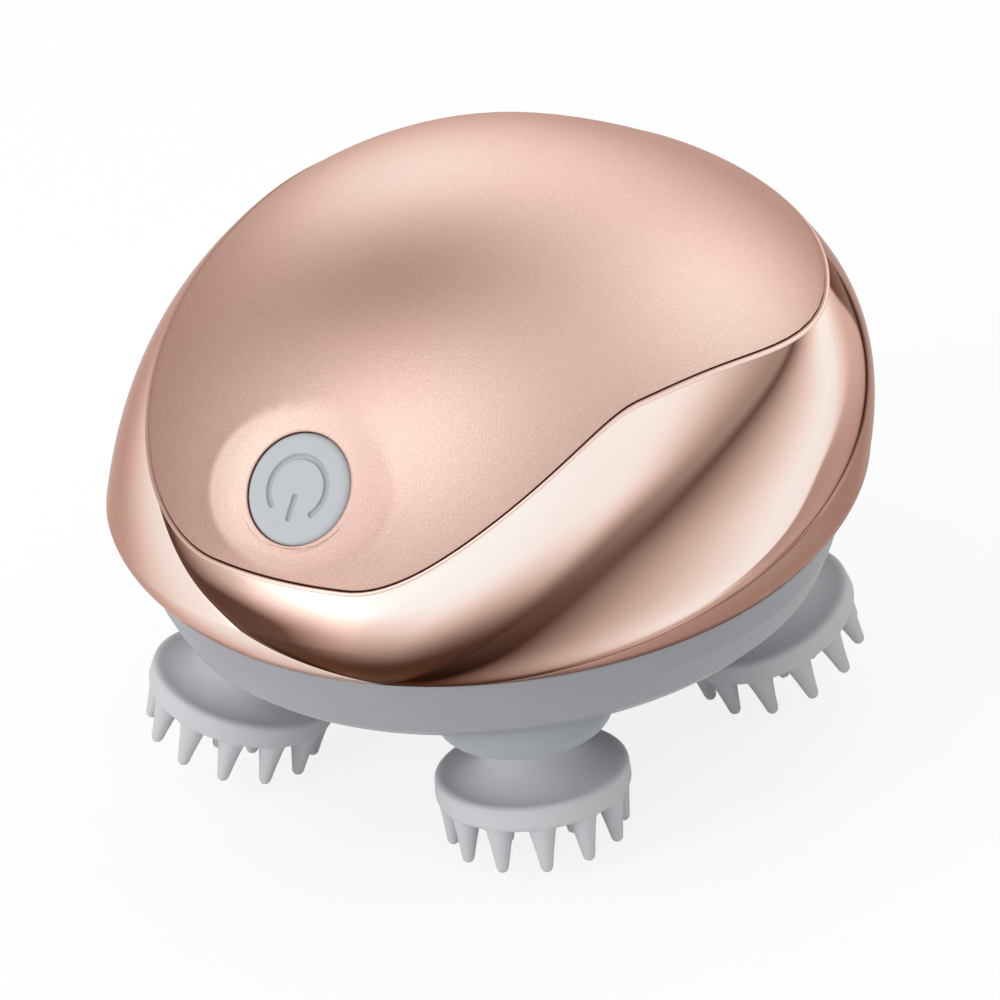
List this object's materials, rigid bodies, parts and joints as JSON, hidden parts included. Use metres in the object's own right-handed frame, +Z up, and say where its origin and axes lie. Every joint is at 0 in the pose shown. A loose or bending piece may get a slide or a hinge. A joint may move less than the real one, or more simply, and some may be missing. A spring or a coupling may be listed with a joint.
{
  "type": "electric scalp massager",
  "caption": "Domed handheld scalp massager with a swirled glossy lower shell, a matt cover with a power button, and claw pads that swing as they turn.",
  "frame": {"origin": "on the floor under the middle of the round body, where the claw tips stand", "axes": "+Z up, the power button faces -Y and up, +X to the right as the button is faced"},
  "size_m": [0.1173, 0.1184, 0.096],
  "materials": {
    "cover_leather": "fine matt grain",
    "gloss_gold": "metallised gloss",
    "satin_grey": "satin",
    "soft_grey": "satin silicone",
    "collar_grey": "satin silicone",
    "dark_rubber": "matt",
    "frame_white": "moulded",
    "gear_white": "smooth acetal",
    "steel": "ground",
    "crank_alloy": "die cast",
    "brass": "turned",
    "screw_steel": "zinc plated",
    "motor_black": "moulded",
    "battery_wrap": "shrink film",
    "board_green": "solder mask",
    "switch_black": "moulded"
  },
  "bodies": {
    "housing": {"top_cover": "cover_leather", "swirl_shell": "gloss_gold", "lower_shell": "satin_grey", "seam_gasket": "dark_rubber", "front_left_collar": "collar_grey", "front_right_collar": "collar_grey", "back_right_collar": "collar_grey", "back_left_collar": "collar_grey", "gearbox_base": "frame_white", "gearbox_cover": "frame_white", "sun_pin": "steel", "idler_pin": "steel", "front_left_bush": "brass", "front_right_bush": "brass", "back_right_bush": "brass", "back_left_bush": "brass", "motor_can": "steel", "motor_end_cap": "motor_black", "motor_screw_1": "screw_steel", "motor_screw_2": "screw_steel", "battery_pack": "battery_wrap", "battery_strap": "frame_white", "circuit_board": "board_green", "charging_port": "steel", "button_bracket": "frame_white", "switch_board": "board_green", "tact_switch": "switch_black", "case_screw_1": "screw_steel", "case_screw_2": "screw_steel", "case_screw_3": "screw_steel", "case_screw_4": "screw_steel", "case_screw_5": "screw_steel", "box_screw_1": "screw_steel", "box_screw_2": "screw_steel", "box_screw_3": "screw_steel", "box_screw_4": "screw_steel", "box_screw_5": "screw_steel"},
    "button": {"power_button": "soft_grey", "button_plunger": "frame_white"},
    "sun": {"sun_gear": "gear_white"},
    "idler": {"idler_gear": "gear_white"},
    "motor_rotor": {"motor_shaft": "steel", "motor_pinion": "brass"},
    "front_left_head": {"front_left_planet": "gear_white", "front_left_shaft": "steel", "front_left_crank": "crank_alloy", "front_left_pad": "soft_grey"},
    "front_right_head": {"front_right_planet": "gear_white", "front_right_shaft": "steel", "front_right_crank": "crank_alloy", "front_right_pad": "soft_grey"},
    "back_right_head": {"back_right_planet": "gear_white", "back_right_shaft": "steel", "back_right_crank": "crank_alloy", "back_right_pad": "soft_grey"},
    "back_left_head": {"back_left_planet": "gear_white", "back_left_shaft": "steel", "back_left_crank": "crank_alloy", "back_left_pad": "soft_grey"}
  },
  "joints": [
    {"name": "button_press", "type": "slide", "parent": "housing", "child": "button", "axis": [-0.1311, 0.7432, -0.6561], "range_m": [0, 0.0008], "stiffness_N_per_m": 1000, "springref_m": -0.0005},
    {"name": "sun_spin", "type": "hinge", "parent": "housing", "child": "sun", "pos_m": [0, 0, 0.04], "axis": [0, 0, 1], "continuous": true},
    {"name": "idler_spin", "type": "hinge", "parent": "housing", "child": "idler", "pos_m": [0, 0.02649, 0.04], "axis": [0, 0, 1], "continuous": true},
    {"name": "motor_spin", "type": "hinge", "parent": "housing", "child": "motor_rotor", "pos_m": [0, 0.00849, 0.05], "axis": [0, 0, 1], "continuous": true},
    {"name": "front_left_spin", "type": "hinge", "parent": "housing", "child": "front_left_head", "pos_m": [-0.02578, -0.02578, 0.01421], "axis": [0.1515, 0.1515, 0.9768], "continuous": true},
    {"name": "front_right_spin", "type": "hinge", "parent": "housing", "child": "front_right_head", "pos_m": [0.02578, -0.02578, 0.01421], "axis": [-0.1515, 0.1515, 0.9768], "continuous": true},
    {"name": "back_right_spin", "type": "hinge", "parent": "housing", "child": "back_right_head", "pos_m": [0.02578, 0.02578, 0.01421], "axis": [-0.1515, -0.1515, 0.9768], "continuous": true},
    {"name": "back_left_spin", "type": "hinge", "parent": "housing", "child": "back_left_head", "pos_m": [-0.02578, 0.02578, 0.01421], "axis": [0.1515, -0.1515, 0.9768], "continuous": true}
  ],
  "couplings": [
    {"joint": "idler_spin", "follows": "sun_spin", "ratio": -3.3333},
    {"joint": "motor_spin", "follows": "sun_spin", "ratio": 13.333},
    {"joint": "front_left_spin", "follows": "sun_spin", "ratio": -2},
    {"joint": "front_right_spin", "follows": "sun_spin", "ratio": -2},
    {"joint": "back_right_spin", "follows": "sun_spin", "ratio": -2},
    {"joint": "back_left_spin", "follows": "sun_spin", "ratio": -2}
  ]
}
